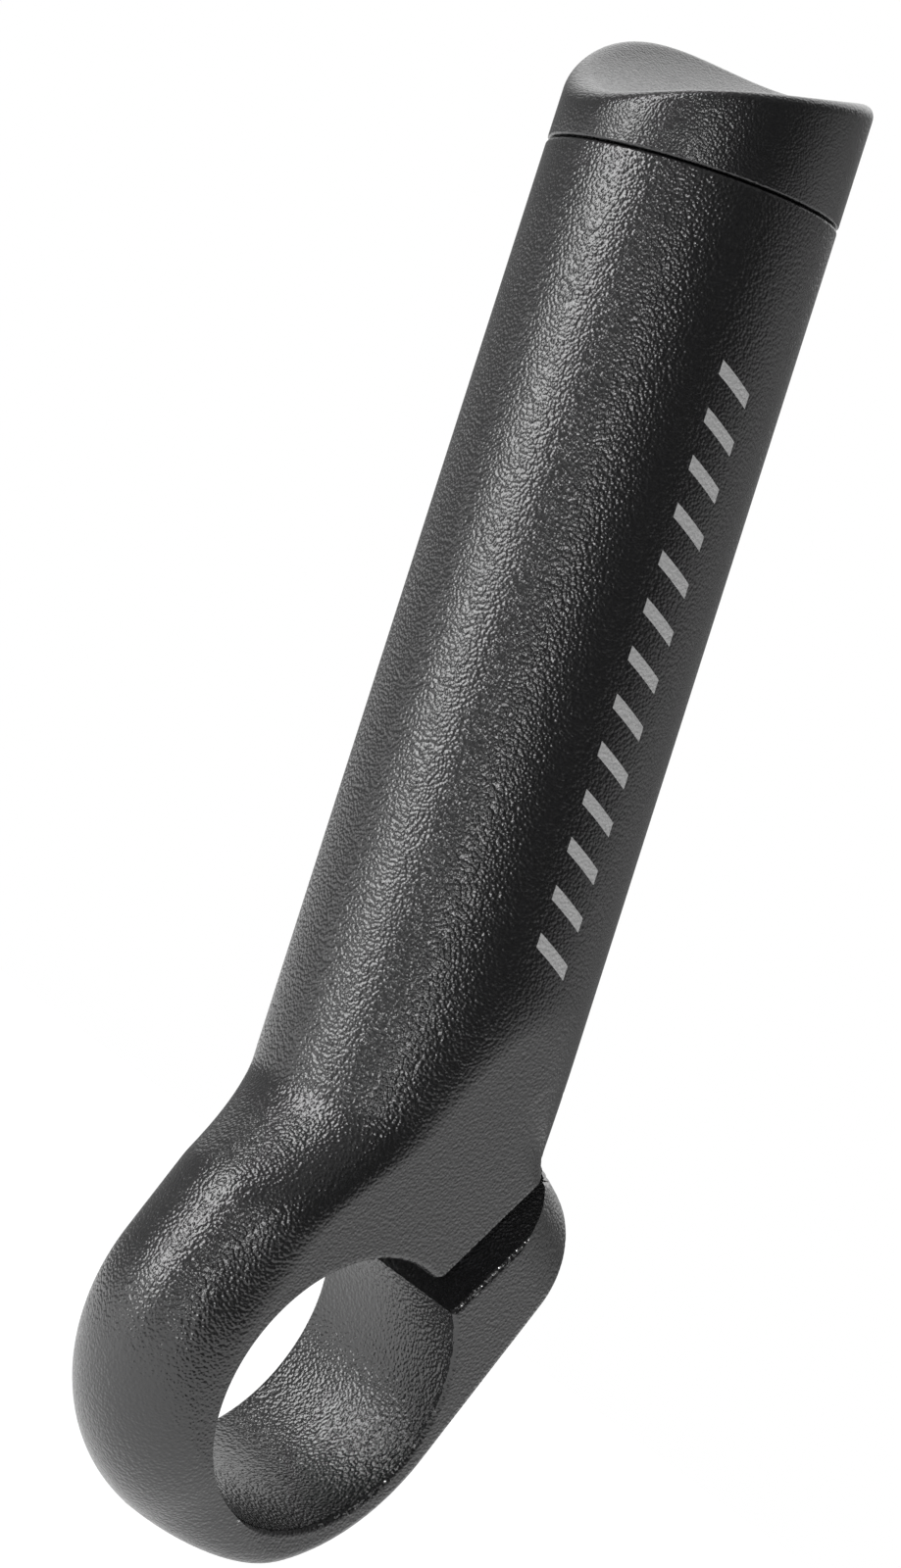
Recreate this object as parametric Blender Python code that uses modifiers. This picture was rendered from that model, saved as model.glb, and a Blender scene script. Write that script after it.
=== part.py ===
"""Bicycle bar end: a forged arm that clamps on a handlebar, with its plug, clamp bolt and washer.

The origin is the centre of the handlebar bore at mid-width. +X runs along the bore, away from the
grip. +Z runs up through the clamp, and the arm leans from it towards -X. The slot, the jaw and the
bolt are on the +Y side. Everything is worked out from the sizes below.
"""
import math

import bpy
import numpy as np
from mathutils import Matrix, Vector

MM = 0.001
DEG = math.pi / 180

# Clamp
BAR_DIAMETER = 22.2 * MM
CLAMP_WIDTH = 14.8 * MM
CLAMP_WALL = 4.55 * MM
CLAMP_SHIFT_BACK = 2.13 * MM
CLAMP_SHIFT_UP = 0.83 * MM
CLAMP_LEAN = 13.0 * DEG
OUTBOARD_EDGE_RADIUS = 6.5 * MM
INBOARD_EDGE_RADIUS = 8.3 * MM
JAW_EDGE_RADIUS = 1.2 * MM
EDGE_REACH = 14.4 * MM
OUTBOARD_EDGE_SPAN = (-0.3, 0.5)
INBOARD_EDGE_SPAN = (0.1, 0.8)
BORE_CHAMFER = 0.25 * MM

# Slot between the jaw and the arm
SLOT_WIDTH = 3.63 * MM
SLOT_LEAN = 26.07 * DEG
SLOT_OFFSET = 2.62 * MM
SLOT_MOUTH_RADIUS = 1.0 * MM

# Arm
ARM_DIAMETER = 22.2 * MM
ARM_LEAN = 15.45 * DEG
ARM_LENGTH = 73.65 * MM
BEND_HEIGHT = 16.64 * MM
ARM_RIM_RADIUS = 0.6 * MM
ARM_WALL = 2.4 * MM
HOLLOW_DEPTH = 58.0 * MM

# Neck, where the clamp's shape turns into the arm's
NECK_START = 10.0 * MM
NECK_END = 33.0 * MM
NECK_TAPER = 20.55 * MM
NECK_SHARPENING = 4.5 * MM
NECK_UNDERCUT = 12.5 * MM
UNDERCUT_RADIUS = 3.0 * MM
JOIN_RADIUS = 4.0 * MM

# Bolt and washer
BOLT_DIAMETER = 5.0 * MM
BOLT_LENGTH = 16.0 * MM
BOLT_HEIGHT = 17.05 * MM
HEAD_DIAMETER = 8.5 * MM
HEAD_HEIGHT = 5.0 * MM
HEX_WIDTH = 4.0 * MM
HEX_DEPTH = 2.6 * MM
WASHER_DIAMETER = 10.0 * MM
WASHER_THICKNESS = 1.0 * MM
SEAT_THICKNESS = 3.5 * MM
HOLE_END_ROOM = 1.2 * MM

# Plug
CAP_HEIGHT = 8.06 * MM
CAP_BOWL = 0.5 * MM
CAP_TILT = (-0.57 * MM, 3.45 * MM)
CAP_SADDLE = (0.97 * MM, -0.32 * MM)
CAP_TREFOIL = (-1.06 * MM, 0.29 * MM)
CAP_RIM_RADIUS = 2.7 * MM
SPIGOT_HOLLOW_TOP = 3.0 * MM
SPIGOT_LENGTH = 13.0 * MM
SPIGOT_WALL = 1.6 * MM
SPIGOT_SLACK = 0.7 * MM
RIB_COUNT = 4
RIB_PITCH = 2.6 * MM

# Clearance between touching pieces
GAP = 0.3 * MM

# Fineness of the faceted surfaces
SIDE_POINTS = 35
FINE_POINTS = 360
RING_STATIONS = 20
NECK_STATIONS = 34
ARM_STATIONS = 3
RIM_STATIONS = 3
ROUND_SIDES = 48
TURN_WEIGHT = 4.0 * MM

HALF_WIDTH = CLAMP_WIDTH / 2
BORE_RADIUS = BAR_DIAMETER / 2
CLAMP_RADIUS = BORE_RADIUS + CLAMP_WALL
ARM_RADIUS = ARM_DIAMETER / 2
HOLLOW_RADIUS = ARM_RADIUS - ARM_WALL
SPIGOT_RADIUS = HOLLOW_RADIUS - SPIGOT_SLACK
RIB_RADIUS = HOLLOW_RADIUS - GAP
BOLT_HOLE_RADIUS = BOLT_DIAMETER / 2 + GAP
COUNTERBORE_RADIUS = WASHER_DIAMETER / 2 + GAP

ACROSS = np.array([1.0, 0.0, 0.0])
CLAMP_CENTRE = np.array([0.0, -CLAMP_SHIFT_BACK, CLAMP_SHIFT_UP])
CLAMP_UP = np.array([0.0, math.sin(CLAMP_LEAN), math.cos(CLAMP_LEAN)])
CLAMP_BACK = np.array([0.0, -math.cos(CLAMP_LEAN), math.sin(CLAMP_LEAN)])
SLOT_UP = np.array([0.0, math.sin(SLOT_LEAN), math.cos(SLOT_LEAN)])
BOLT_AXIS = np.array([0.0, -math.cos(SLOT_LEAN), math.sin(SLOT_LEAN)])
ARM_AXIS = np.array([-math.sin(ARM_LEAN), 0.0, math.cos(ARM_LEAN)])
BEND_POINT = np.array([0.0, 0.0, BEND_HEIGHT])
ARM_TOP = BEND_POINT + ARM_LENGTH * ARM_AXIS
JAW_FACE = -SLOT_OFFSET
BASE_FACE = JAW_FACE + SLOT_WIDTH
MID_SLOT = JAW_FACE + SLOT_WIDTH / 2
SEAT_FACE = JAW_FACE - SEAT_THICKNESS
HEAD_FACE = SEAT_FACE - GAP - WASHER_THICKNESS - GAP


def clear_scene():
    """Remove what a new file holds."""
    for thing in list(bpy.data.objects):
        bpy.data.objects.remove(thing, do_unlink=True)


def new_collection(name):
    """Make a collection in the scene."""
    collection = bpy.data.collections.new(name)
    bpy.context.scene.collection.children.link(collection)
    return collection


def plain_material(name, colour, roughness, metallic):
    """Make a material of one colour on the standard shader."""
    material = bpy.data.materials.new(name)
    material.use_nodes = True
    shader = material.node_tree.nodes["Principled BSDF"]
    shader.inputs["Base Color"].default_value = (*colour, 1.0)
    shader.inputs["Roughness"].default_value = roughness
    shader.inputs["Metallic"].default_value = metallic
    material.diffuse_color = (*colour, 1.0)
    return material


def add_object(name, mesh, collection, material=None):
    """Put a mesh into the scene as an object of that name."""
    thing = bpy.data.objects.new(name, mesh)
    collection.objects.link(thing)
    if material is not None:
        mesh.materials.append(material)
        mesh.shade_smooth()
        mesh.set_sharp_from_angle(angle=32 * DEG)
    return thing


def add_cutter(name, mesh, collection, matrix=None):
    """Put a mesh into the scene as a guide that only cuts."""
    cutter = add_object(name, mesh, collection)
    if matrix is not None:
        cutter.matrix_world = matrix
    cutter.hide_render = True
    cutter.display_type = 'WIRE'
    return cutter


def cut(thing, cutter):
    """Take the cutter's shape out of an object."""
    step = thing.modifiers.new("cut_" + cutter.name, 'BOOLEAN')
    step.operation = 'DIFFERENCE'
    step.solver = 'EXACT'
    step.object = cutter


def axis_matrix(origin, along):
    """Give the placement whose Z axis runs along a direction from an origin."""
    turn = Vector(along).to_track_quat('Z', 'X').to_matrix().to_4x4()
    return Matrix.Translation(Vector(origin)) @ turn


def grid_mesh(name, rows):
    """Make a closed mesh of rings of points, each end closed by a fan to the ring's middle.

    rows is an array of rings by points by three. The rings run anticlockwise seen from the last one.
    """
    rings, sides = rows.shape[:2]
    verts = rows.reshape(-1, 3).tolist()
    faces = []
    for i in range(rings - 1):
        for j in range(sides):
            k = (j + 1) % sides
            faces.append((i * sides + j, i * sides + k, (i + 1) * sides + k, (i + 1) * sides + j))
    last = (rings - 1) * sides
    verts += [rows[0].mean(axis=0).tolist(), rows[-1].mean(axis=0).tolist()]
    faces += [((j + 1) % sides, j, rings * sides) for j in range(sides)]
    faces += [(last + j, last + (j + 1) % sides, rings * sides + 1) for j in range(sides)]
    mesh = bpy.data.meshes.new(name)
    mesh.from_pydata(verts, [], faces)
    mesh.validate()
    return mesh


def turned_mesh(name, profile, sides=ROUND_SIDES):
    """Turn a profile of (radius, height) points, which runs from the axis down to the axis, into a mesh."""
    mesh = bpy.data.meshes.new(name + "_profile")
    verts = [(radius, 0.0, height) for radius, height in profile]
    mesh.from_pydata(verts, [(i, i + 1) for i in range(len(verts) - 1)], [])
    thing = bpy.data.objects.new(name + "_profile", mesh)
    bpy.context.scene.collection.objects.link(thing)
    screw = thing.modifiers.new("turn", 'SCREW')
    screw.axis = 'Z'
    screw.angle = 2 * math.pi
    screw.steps = sides
    screw.render_steps = sides
    screw.use_merge_vertices = True
    screw.merge_threshold = 0.00001
    bpy.context.view_layer.update()
    turned = bpy.data.meshes.new_from_object(thing.evaluated_get(bpy.context.evaluated_depsgraph_get()))
    turned.name = name
    bpy.data.objects.remove(thing, do_unlink=True)
    return turned


def smooth_step(value):
    """Rise from 0 to 1 as the value does, level at both ends."""
    value = np.clip(value, 0.0, 1.0)
    return value * value * (3 - 2 * value)


def meet(one, other, radius):
    """Join two distances to the solid that both hold, with an edge rounded to a radius."""
    inside = np.minimum(np.maximum(one, other), -radius)
    return inside + np.hypot(np.maximum(one + radius, 0), np.maximum(other + radius, 0))


def merge(one, other, radius):
    """Join two distances to the solid that either holds, with an inner corner filled to a radius."""
    outside = np.maximum(np.minimum(one, other), radius)
    return outside - np.hypot(np.maximum(radius - one, 0), np.maximum(radius - other, 0))


def clamp_outline(points):
    """Distance from points to the clamp's outline, a leaning stadium open at its top."""
    offset = points - CLAMP_CENTRE
    return np.hypot(np.minimum(offset @ CLAMP_UP, 0), offset @ CLAMP_BACK) - CLAMP_RADIUS


def edge_softness(points, span):
    """Share of an edge's full rounding: whole at the back, none along the jaw, with a span between."""
    towards_jaw = -(points @ CLAMP_BACK) / EDGE_REACH
    return 1 - smooth_step((towards_jaw - span[0]) / (span[1] - span[0]))


def edge_radius(softness, full):
    """The rounding of the clamp's edges, from the jaw's least to a full one."""
    return JAW_EDGE_RADIUS + (full - JAW_EDGE_RADIUS) * softness


def jaw_distance(points):
    """Distance from points to the jaw's side of the forging: a plate of the clamp's outline.

    Beyond the bolt the plate's sides close in a half circle about the bolt's axis.
    """
    across = points[..., 0]
    sides = np.hypot(across, np.maximum(points @ SLOT_UP - BOLT_HEIGHT, 0)) - HALF_WIDTH
    outboard = edge_radius(edge_softness(points, OUTBOARD_EDGE_SPAN), OUTBOARD_EDGE_RADIUS)
    inboard = edge_radius(edge_softness(points, INBOARD_EDGE_SPAN), INBOARD_EDGE_RADIUS)
    return meet(clamp_outline(points), sides, np.where(across > 0, outboard, inboard))


def arm_distance(points):
    """Distance from points to the arm's side of the forging.

    The clamp's outline tapers up the neck and is joined to a leaning round bar, whose overhang is cut
    under by a plane at 45 degrees. The clamp's flat outer face then cuts through both, and its edge
    sharpens up the neck.
    """
    across, height = points[..., 0], points[..., 2]
    rise = smooth_step((height - NECK_START) / (NECK_END - NECK_START))
    inboard = edge_radius(edge_softness(points, INBOARD_EDGE_SPAN), INBOARD_EDGE_RADIUS)
    plate = meet(clamp_outline(points) + NECK_TAPER * rise, -across - HALF_WIDTH, inboard)
    offset = points - BEND_POINT
    radial = offset - (offset @ ARM_AXIS)[..., None] * ARM_AXIS
    bar = np.sqrt((radial * radial).sum(axis=-1)) - ARM_RADIUS
    under = (NECK_UNDERCUT - HALF_WIDTH - across - height) * math.sqrt(0.5)
    trunk = merge(plate, meet(bar, under, UNDERCUT_RADIUS), JOIN_RADIUS)
    softness = edge_softness(points, OUTBOARD_EDGE_SPAN)
    outboard = edge_radius(softness, OUTBOARD_EDGE_RADIUS) - NECK_SHARPENING * rise * softness
    return meet(trunk, across - HALF_WIDTH, outboard)


def skin_distance(points):
    """Distance from points to the whole forging before it is bored and slit."""
    return np.where(points @ BOLT_AXIS < MID_SLOT, jaw_distance(points), arm_distance(points))


def skin_reach(starts, directions):
    """How far each ray runs inside the forging, found by halving the interval that holds its skin."""
    low = np.zeros(starts.shape[:-1])
    high = np.full(starts.shape[:-1], 3 * max(CLAMP_RADIUS, ARM_RADIUS))
    for _ in range(26):
        middle = (low + high) / 2
        inside = skin_distance(starts + directions * middle[..., None]) < 0
        low = np.where(inside, middle, low)
        high = np.where(inside, high, middle)
    return (low + high) / 2


def half_outline(start, ahead, aside):
    """Trace the skin with rays that swing from one direction, past the second, to the first's opposite.

    Points gather where the outline turns: equal shares are taken of its length plus a weight times how
    far it has turned. Both end points are among them.
    """
    fine = np.linspace(0, math.pi, FINE_POINTS)
    rays = np.cos(fine)[:, None] * ahead + np.sin(fine)[:, None] * aside
    outline = start + rays * skin_reach(np.broadcast_to(start, rays.shape), rays)[:, None]
    steps = np.diff(outline, axis=0)
    lengths = np.linalg.norm(steps, axis=1)
    headings = steps / np.maximum(lengths, 1e-9)[:, None]
    turning = np.linalg.norm(np.diff(headings, axis=0, prepend=headings[:1]), axis=1)
    travel = np.concatenate([[0.0], np.cumsum(lengths + TURN_WEIGHT * np.minimum(turning, 0.5))])
    angles = np.interp(np.linspace(0, travel[-1], SIDE_POINTS + 2), travel, fine)
    rays = np.cos(angles)[:, None] * ahead + np.sin(angles)[:, None] * aside
    return start + rays * skin_reach(np.broadcast_to(start, rays.shape), rays)[:, None]


def level_rings():
    """Work out the rings of the skin from the bore's axis up to the arm's top rim.

    The planes are level at the clamp and turn square to the arm as the spine bends into it.
    """
    aside = np.array([0.0, 1.0, 0.0])
    round_end = BEND_HEIGHT + 3 * ARM_RADIUS
    top = (ARM_TOP - 2 * ARM_RIM_RADIUS * ARM_AXIS)[2]
    rings = []
    for height in np.concatenate([np.linspace(0, round_end, NECK_STATIONS, endpoint=False),
                                  np.linspace(round_end, top, ARM_STATIONS, endpoint=False)]):
        above = max(height - BEND_HEIGHT, 0.0)
        start = np.array([-math.tan(ARM_LEAN) * above, 0.0, height])
        turn = ARM_LEAN * float(smooth_step(above / (3 * ARM_RADIUS)))
        ahead = np.array([math.cos(turn), 0.0, math.sin(turn)])
        halves = half_outline(start, ahead, aside), half_outline(start, -ahead, -aside)
        rings.append(np.concatenate([halves[0][:-1], halves[1][:-1]]))
    angles = np.linspace(0, 2 * math.pi, 2 * SIDE_POINTS + 2, endpoint=False)
    square = np.array([math.cos(ARM_LEAN), 0.0, math.sin(ARM_LEAN)])
    around = np.cos(angles)[:, None] * square + np.sin(angles)[:, None] * aside
    for bend in np.linspace(0, math.pi / 2, RIM_STATIONS):
        radius = ARM_RADIUS - ARM_RIM_RADIUS * (1 - math.cos(bend))
        rings.append(ARM_TOP - ARM_AXIS * ARM_RIM_RADIUS * (1 - math.sin(bend)) + radius * around)
    return np.array(rings)


def skin_mesh():
    """Make the forging's skin: level rings above the bore's axis, and a ring swept about it below."""
    rings = level_rings()
    count, sides = rings.shape[:2]
    verts = rings.reshape(-1, 3).tolist()
    faces = []
    for low in range(0, (count - 1) * sides, sides):
        for j in range(sides):
            k = (j + 1) % sides
            faces.append((low + j, low + k, low + sides + k, low + sides + j))
    last = (count - 1) * sides
    verts.append(rings[-1].mean(axis=0).tolist())
    faces += [(last + j, last + (j + 1) % sides, count * sides) for j in range(sides)]
    far = SIDE_POINTS + 1
    rows = [list(range(far + 1))]
    for turn in np.linspace(0, -math.pi, RING_STATIONS + 1)[1:-1]:
        outward = np.array([0.0, math.cos(turn), math.sin(turn)])
        points = half_outline(np.zeros(3), ACROSS, outward)[1:-1]
        rows.append([0] + [len(verts) + j for j in range(SIDE_POINTS)] + [far])
        verts += points.tolist()
    rows.append([0] + [sides - 1 - j for j in range(SIDE_POINTS)] + [far])
    for one, other in zip(rows[:-1], rows[1:]):
        faces.append((one[0], other[1], one[1]))
        faces += [(one[j], other[j], other[j + 1], one[j + 1]) for j in range(1, SIDE_POINTS)]
        faces.append((one[-2], other[-2], one[-1]))
    mesh = bpy.data.meshes.new("body")
    mesh.from_pydata(verts, [], faces)
    mesh.validate()
    return mesh


def bore_cutter(cutters):
    """The handlebar's bore, chamfered at each face, and clear of the arm's overhang on the grip's side."""
    run = HALF_WIDTH + 2 * BORE_CHAMFER
    flare = BORE_RADIUS + 3 * BORE_CHAMFER
    face = HALF_WIDTH - BORE_CHAMFER
    profile = [(0, run), (flare, run), (BORE_RADIUS, face), (BORE_RADIUS, -face), (flare, -run),
               (flare, -run - ARM_RADIUS), (0, -run - ARM_RADIUS)]
    mesh = turned_mesh("bore_cutter", profile, 2 * ROUND_SIDES)
    return add_cutter("bore_cutter", mesh, cutters, axis_matrix((0, 0, 0), ACROSS))


def slot_cutter(cutters):
    """The slot from the bore out past the jaw's tip, its mouth rounded on the arm's side."""
    centre_across = BASE_FACE + SLOT_MOUTH_RADIUS
    reach = BORE_RADIUS + SLOT_MOUTH_RADIUS
    centre_up = math.sqrt(reach ** 2 - centre_across ** 2)
    end = math.atan2(-centre_up, -centre_across)
    mouth = [(centre_across + SLOT_MOUTH_RADIUS * math.cos(a), centre_up + SLOT_MOUTH_RADIUS * math.sin(a))
             for a in np.linspace(-math.pi, end, 6)]
    low, high = 0.75 * BORE_RADIUS, BOLT_HEIGHT + 2 * HALF_WIDTH + ARM_RADIUS
    outline = [(JAW_FACE, low), (JAW_FACE, high), (BASE_FACE, high)] + mouth + [(BASE_FACE, low)]
    verts = []
    for side in (-1.5 * HALF_WIDTH - ARM_RADIUS, 1.5 * HALF_WIDTH + ARM_RADIUS):
        verts += [tuple(side * ACROSS + a * BOLT_AXIS + b * SLOT_UP) for a, b in outline]
    count = len(outline)
    faces = [tuple(reversed(range(count))), tuple(range(count, 2 * count))]
    faces += [(j, (j + 1) % count, count + (j + 1) % count, count + j) for j in range(count)]
    mesh = bpy.data.meshes.new("slot_cutter")
    mesh.from_pydata(verts, [], faces)
    return add_cutter("slot_cutter", mesh, cutters)


def hollow_cutter(cutters):
    """The arm's drilled hollow, with the cone that a drill leaves at its bottom."""
    cone = HOLLOW_RADIUS / math.tan(59 * DEG)
    profile = [(0, 2 * ARM_RIM_RADIUS), (HOLLOW_RADIUS, 2 * ARM_RIM_RADIUS),
               (HOLLOW_RADIUS, -HOLLOW_DEPTH), (0, -HOLLOW_DEPTH - cone)]
    mesh = turned_mesh("hollow_cutter", profile)
    return add_cutter("hollow_cutter", mesh, cutters, axis_matrix(ARM_TOP, ARM_AXIS))


def bolt_hole_cutter(cutters):
    """The bolt's counterbore and clearance hole through the jaw, and its blind hole in the arm's base."""
    tip = HEAD_FACE + BOLT_LENGTH + HOLE_END_ROOM
    cone = BOLT_HOLE_RADIUS / math.tan(59 * DEG)
    outer = SEAT_FACE - CLAMP_RADIUS
    profile = [(0, tip + cone), (BOLT_HOLE_RADIUS, tip), (BOLT_HOLE_RADIUS, SEAT_FACE),
               (COUNTERBORE_RADIUS, SEAT_FACE), (COUNTERBORE_RADIUS, outer), (0, outer)]
    mesh = turned_mesh("bolt_hole_cutter", profile, 32)
    place = axis_matrix(BOLT_HEIGHT * SLOT_UP, BOLT_AXIS)
    return add_cutter("bolt_hole_cutter", mesh, cutters, place)


def make_body(parts, cutters, material):
    """The forging, bored for the bar and the plug, slit, and drilled for the bolt."""
    body = add_object("body", skin_mesh(), parts, material)
    for make in (bore_cutter, slot_cutter, hollow_cutter, bolt_hole_cutter):
        cut(body, make(cutters))
    return body


def cap_height(across, side):
    """Height of the plug's top over the arm's rim, as a sum of smooth waves that grow to the rim.

    One wave round the rim tilts it up towards +Y, two bend it like a saddle and three like a trefoil.
    """
    x, y = across / ARM_RADIUS, side / ARM_RADIUS
    tilt = CAP_TILT[0] * x + CAP_TILT[1] * y
    saddle = CAP_SADDLE[0] * (x * x - y * y) + CAP_SADDLE[1] * 2 * x * y
    trefoil = CAP_TREFOIL[0] * (x ** 3 - 3 * x * y * y) + CAP_TREFOIL[1] * (3 * x * x * y - y ** 3)
    return CAP_HEIGHT + CAP_BOWL * (x * x + y * y - 1) + tilt + saddle + trefoil


def rib_profile():
    """Points of the spigot's outer side from the cap down: raised ribs with sloping lower sides."""
    points = [(SPIGOT_RADIUS, GAP)]
    for i in range(RIB_COUNT):
        top = -(i + 0.6) * RIB_PITCH
        points += [(SPIGOT_RADIUS, top), (RIB_RADIUS, top - 0.1 * RIB_PITCH),
                   (SPIGOT_RADIUS, top - 0.6 * RIB_PITCH)]
    return points


def make_end_cap(parts, material):
    """The plug: a scooped cap flush with the arm, on a hollow spigot with ribs."""
    angles = np.linspace(0, 2 * math.pi, ROUND_SIDES, endpoint=False)
    inner = SPIGOT_RADIUS - SPIGOT_WALL
    bottom = -SPIGOT_LENGTH
    floor = SPIGOT_HOLLOW_TOP
    level_profile = [(0.3 * inner, floor), (inner, floor), (inner, bottom), (SPIGOT_RADIUS, bottom)]
    level_profile += rib_profile()[::-1]
    level_profile += [(ARM_RADIUS - 0.15 * MM, GAP), (ARM_RADIUS, GAP + 0.15 * MM)]
    rows = []
    for radius, height in level_profile:
        level = np.full_like(angles, height)
        rows.append(np.stack([radius * np.cos(angles), radius * np.sin(angles), level], -1))
    rim = [(ARM_RADIUS - CAP_RIM_RADIUS * (1 - math.cos(a)), CAP_RIM_RADIUS * (1 - math.sin(a)))
           for a in np.linspace(0, math.pi / 2, 6)]
    top = [((ARM_RADIUS - CAP_RIM_RADIUS) * share, 0.0) for share in (0.8, 0.6, 0.4, 0.2)]
    for radius, sink in rim + top:
        across, side = radius * np.cos(angles), radius * np.sin(angles)
        rows.append(np.stack([across, side, cap_height(across, side) - sink], -1))
    place = np.array(Matrix.Translation(Vector(ARM_TOP)) @ Matrix.Rotation(-ARM_LEAN, 4, 'Y'))
    rows = np.array(rows) @ place[:3, :3].T + place[:3, 3]
    return add_object("end_cap", grid_mesh("end_cap", rows), parts, material)


def make_washer(parts, material, mount):
    """The washer, on the seat in the counterbore."""
    inner, outer = BOLT_HOLE_RADIUS, WASHER_DIAMETER / 2
    ease = 0.15 * WASHER_THICKNESS
    top = WASHER_THICKNESS
    profile = [(inner, 0), (inner, top), (outer - ease, top), (outer, top - ease), (outer, ease),
               (outer - ease, 0), (inner, 0)]
    washer = add_object("washer", turned_mesh("washer", profile), parts, material)
    washer.parent = mount
    washer.location = (0, 0, GAP)
    return washer


def make_bolt(parts, cutters, material, mount):
    """The socket head cap screw, its head towards +Z of its mount, with a hexagon socket."""
    head, shank = HEAD_DIAMETER / 2, BOLT_DIAMETER / 2
    ease = 0.1 * HEAD_HEIGHT
    profile = [(0, HEAD_HEIGHT), (head - ease, HEAD_HEIGHT), (head, HEAD_HEIGHT - ease), (head, 0),
               (shank, 0), (shank, -BOLT_LENGTH + 0.2 * BOLT_DIAMETER), (0.8 * shank, -BOLT_LENGTH),
               (0, -BOLT_LENGTH)]
    bolt = add_object("clamp_bolt", turned_mesh("clamp_bolt", profile, 36), parts, material)
    bolt.parent = mount
    bolt.location = (0, 0, GAP + WASHER_THICKNESS + GAP)
    corner = HEX_WIDTH / math.sqrt(3)
    bottom = HEAD_HEIGHT - HEX_DEPTH
    profile = [(0, HEAD_HEIGHT + HEX_DEPTH), (corner, HEAD_HEIGHT + HEX_DEPTH), (corner, bottom),
               (0, bottom - 0.3 * corner)]
    socket = add_cutter("socket_cutter", turned_mesh("socket_cutter", profile, 6), cutters)
    socket.parent = bolt
    cut(bolt, socket)
    return bolt


def main():
    """Build the whole bar end."""
    clear_scene()
    parts = new_collection("bar_end")
    cutters = new_collection("cutters")
    blasted = plain_material("blasted_black_aluminium", (0.035, 0.035, 0.037), 0.5, 0.4)
    moulded = plain_material("moulded_black_plastic", (0.03, 0.03, 0.031), 0.45, 0.0)
    plated = plain_material("plated_steel", (0.5, 0.5, 0.52), 0.3, 1.0)
    mount = bpy.data.objects.new("bolt_seat", None)
    parts.objects.link(mount)
    mount.matrix_world = axis_matrix(BOLT_HEIGHT * SLOT_UP + SEAT_FACE * BOLT_AXIS, -BOLT_AXIS)
    bpy.context.view_layer.update()
    make_body(parts, cutters, blasted)
    make_end_cap(parts, moulded)
    make_washer(parts, plated, mount)
    make_bolt(parts, cutters, plated, mount)
    bpy.context.view_layer.update()


main()
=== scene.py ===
import math

import bpy
import numpy as np
from mathutils import Matrix, Vector


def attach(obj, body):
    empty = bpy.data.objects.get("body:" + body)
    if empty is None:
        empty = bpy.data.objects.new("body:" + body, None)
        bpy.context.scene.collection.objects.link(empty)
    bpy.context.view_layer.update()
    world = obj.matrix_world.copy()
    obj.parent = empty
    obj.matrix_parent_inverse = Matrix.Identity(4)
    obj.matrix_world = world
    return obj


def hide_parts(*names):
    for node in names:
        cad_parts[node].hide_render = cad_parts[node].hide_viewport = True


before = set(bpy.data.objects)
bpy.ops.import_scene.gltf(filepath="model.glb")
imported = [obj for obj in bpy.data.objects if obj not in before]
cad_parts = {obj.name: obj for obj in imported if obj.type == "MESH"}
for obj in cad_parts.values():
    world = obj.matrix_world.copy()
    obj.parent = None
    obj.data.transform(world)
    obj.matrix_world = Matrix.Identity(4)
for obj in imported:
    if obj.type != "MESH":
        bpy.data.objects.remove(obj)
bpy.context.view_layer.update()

MM = 0.001
DEG = math.pi / 180

# The forging's sizes, as in the model
CLAMP_WIDTH = 14.8 * MM
BAR_DIAMETER = 22.2 * MM
CLAMP_WALL = 4.55 * MM
CLAMP_SHIFT_BACK = 2.13 * MM
CLAMP_SHIFT_UP = 0.83 * MM
CLAMP_LEAN = 13.0 * DEG
OUTBOARD_EDGE_RADIUS = 6.5 * MM
INBOARD_EDGE_RADIUS = 8.3 * MM
JAW_EDGE_RADIUS = 1.2 * MM
EDGE_REACH = 14.4 * MM
OUTBOARD_EDGE_SPAN = (-0.3, 0.5)
INBOARD_EDGE_SPAN = (0.1, 0.8)
SLOT_WIDTH = 3.63 * MM
SLOT_LEAN = 26.07 * DEG
SLOT_OFFSET = 2.62 * MM
SLOT_MOUTH_RADIUS = 1.0 * MM
ARM_DIAMETER = 22.2 * MM
ARM_LEAN = 15.45 * DEG
ARM_LENGTH = 73.65 * MM
BEND_HEIGHT = 16.64 * MM
ARM_RIM_RADIUS = 0.35 * MM
ARM_WALL = 2.4 * MM
HOLLOW_DEPTH = 58.0 * MM
NECK_START = 10.0 * MM
NECK_END = 33.0 * MM
NECK_TAPER = 20.55 * MM
NECK_UNDERCUT = 12.5 * MM
UNDERCUT_RADIUS = 3.0 * MM
JOIN_RADIUS = 4.0 * MM
JOIN_FADE = 0.85
JOIN_SPAN = 5.0 * MM
NECK_ROUNDING = 5.0 * MM

# The bolt's, the washer's and the plug's sizes, as in the model
BOLT_DIAMETER = 5.0 * MM
BOLT_LENGTH = 16.0 * MM
BOLT_HEIGHT = 17.05 * MM
HEAD_DIAMETER = 8.5 * MM
HEAD_HEIGHT = 5.0 * MM
HEX_WIDTH = 4.0 * MM
HEX_DEPTH = 2.6 * MM
WASHER_DIAMETER = 10.0 * MM
WASHER_THICKNESS = 1.0 * MM
SEAT_THICKNESS = 3.5 * MM
HOLE_END_ROOM = 1.2 * MM
CAP_HEIGHT = 8.35 * MM
CAP_BOWL = 2.5 * MM
CAP_TILT = (-0.31 * MM, 3.25 * MM)
CAP_SADDLE = (1.17 * MM, -0.34 * MM)
CAP_TREFOIL = (-0.46 * MM, 0.16 * MM)
SPIGOT_HOLLOW_TOP = 3.0 * MM
SPIGOT_LENGTH = 13.0 * MM
SPIGOT_WALL = 1.6 * MM
SPIGOT_SLACK = 0.7 * MM
RIB_COUNT = 4
RIB_PITCH = 2.6 * MM
GAP = 0.3 * MM

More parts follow.
